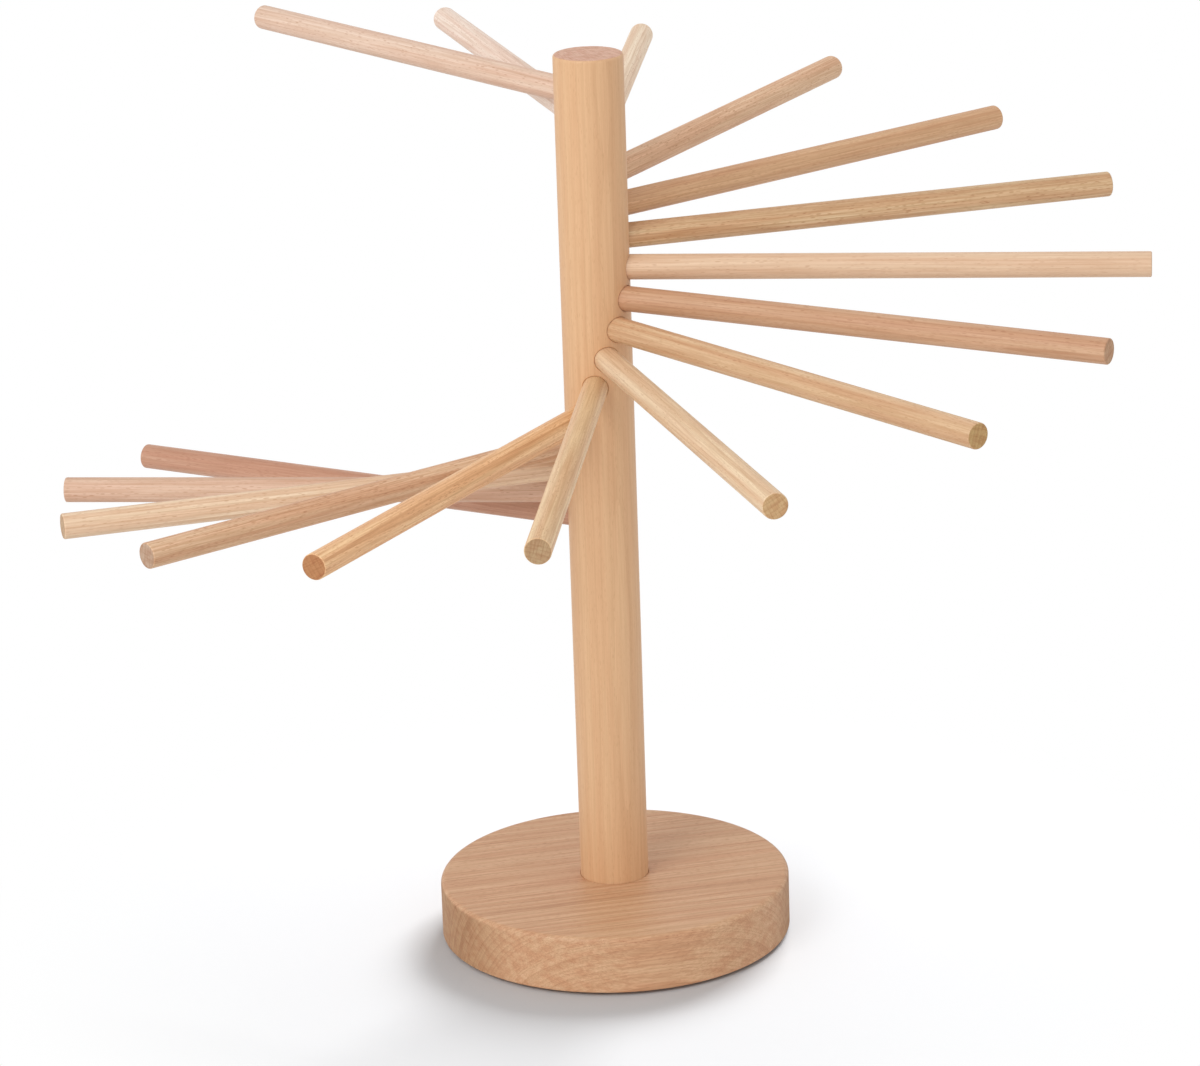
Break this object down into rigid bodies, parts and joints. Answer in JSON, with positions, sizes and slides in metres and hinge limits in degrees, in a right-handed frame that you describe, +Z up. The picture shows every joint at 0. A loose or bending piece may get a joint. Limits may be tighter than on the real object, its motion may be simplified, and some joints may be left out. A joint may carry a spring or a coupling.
{
  "type": "pasta drying rack",
  "caption": "Free-standing wooden rack: a round base, an upright post and a descending spiral of push-in rods to hang fresh noodles on.",
  "frame": {"origin": "centre of the underside, on the surface that the foot pads stand on", "axes": "+Z up along the post; +X along rod_07, which is the seventh rod from the top; the rods go clockwise, seen from above, as they descend"},
  "size_m": [0.5196, 0.5196, 0.437],
  "materials": {
    "base_wood": "turned and sanded beech, bare or lightly oiled",
    "post_wood": "sanded beech dowel, bare or lightly oiled",
    "rod_wood": "smooth beech dowel, ends eased",
    "steel": "bright zinc plate",
    "insert_metal": "plain zinc alloy, as cast",
    "pad_rubber": "soft matt, translucent grey"
  },
  "bodies": {
    "stand": {"base": "base_wood", "post": "post_wood", "base_bolt": "steel", "bolt_washer": "steel", "threaded_insert": "insert_metal", "foot_pad_1": "pad_rubber", "foot_pad_2": "pad_rubber", "foot_pad_3": "pad_rubber", "foot_pad_4": "pad_rubber"},
    "rod_01": {"rod_01": "rod_wood"},
    "rod_02": {"rod_02": "rod_wood"},
    "rod_03": {"rod_03": "rod_wood"},
    "rod_04": {"rod_04": "rod_wood"},
    "rod_05": {"rod_05": "rod_wood"},
    "rod_06": {"rod_06": "rod_wood"},
    "rod_07": {"rod_07": "rod_wood"},
    "rod_08": {"rod_08": "rod_wood"},
    "rod_09": {"rod_09": "rod_wood"},
    "rod_10": {"rod_10": "rod_wood"},
    "rod_11": {"rod_11": "rod_wood"},
    "rod_12": {"rod_12": "rod_wood"},
    "rod_13": {"rod_13": "rod_wood"},
    "rod_14": {"rod_14": "rod_wood"},
    "rod_15": {"rod_15": "rod_wood"},
    "rod_16": {"rod_16": "rod_wood"}
  },
  "joints": [
    {"name": "rod_01_pull", "type": "slide", "parent": "stand", "child": "rod_01", "axis": [-0.7071, 0.7071, 0], "range_m": [0, 0.03]},
    {"name": "rod_02_pull", "type": "slide", "parent": "stand", "child": "rod_02", "axis": [-0.3827, 0.9239, 0], "range_m": [0, 0.03]},
    {"name": "rod_03_pull", "type": "slide", "parent": "stand", "child": "rod_03", "axis": [0, 1, 0], "range_m": [0, 0.03]},
    {"name": "rod_04_pull", "type": "slide", "parent": "stand", "child": "rod_04", "axis": [0.3827, 0.9239, 0], "range_m": [0, 0.03]},
    {"name": "rod_05_pull", "type": "slide", "parent": "stand", "child": "rod_05", "axis": [0.7071, 0.7071, 0], "range_m": [0, 0.03]},
    {"name": "rod_06_pull", "type": "slide", "parent": "stand", "child": "rod_06", "axis": [0.9239, 0.3827, 0], "range_m": [0, 0.03]},
    {"name": "rod_07_pull", "type": "slide", "parent": "stand", "child": "rod_07", "axis": [1, 0, 0], "range_m": [0, 0.03]},
    {"name": "rod_08_pull", "type": "slide", "parent": "stand", "child": "rod_08", "axis": [0.9239, -0.3827, 0], "range_m": [0, 0.03]},
    {"name": "rod_09_pull", "type": "slide", "parent": "stand", "child": "rod_09", "axis": [0.7071, -0.7071, 0], "range_m": [0, 0.03]},
    {"name": "rod_10_pull", "type": "slide", "parent": "stand", "child": "rod_10", "axis": [0.3827, -0.9239, 0], "range_m": [0, 0.03]},
    {"name": "rod_11_pull", "type": "slide", "parent": "stand", "child": "rod_11", "axis": [0, -1, 0], "range_m": [0, 0.03]},
    {"name": "rod_12_pull", "type": "slide", "parent": "stand", "child": "rod_12", "axis": [-0.3827, -0.9239, 0], "range_m": [0, 0.03]},
    {"name": "rod_13_pull", "type": "slide", "parent": "stand", "child": "rod_13", "axis": [-0.7071, -0.7071, 0], "range_m": [0, 0.03]},
    {"name": "rod_14_pull", "type": "slide", "parent": "stand", "child": "rod_14", "axis": [-0.9239, -0.3827, 0], "range_m": [0, 0.03]},
    {"name": "rod_15_pull", "type": "slide", "parent": "stand", "child": "rod_15", "axis": [-1, 0, 0], "range_m": [0, 0.03]},
    {"name": "rod_16_pull", "type": "slide", "parent": "stand", "child": "rod_16", "axis": [-0.9239, 0.3827, 0], "range_m": [0, 0.03]}
  ]
}
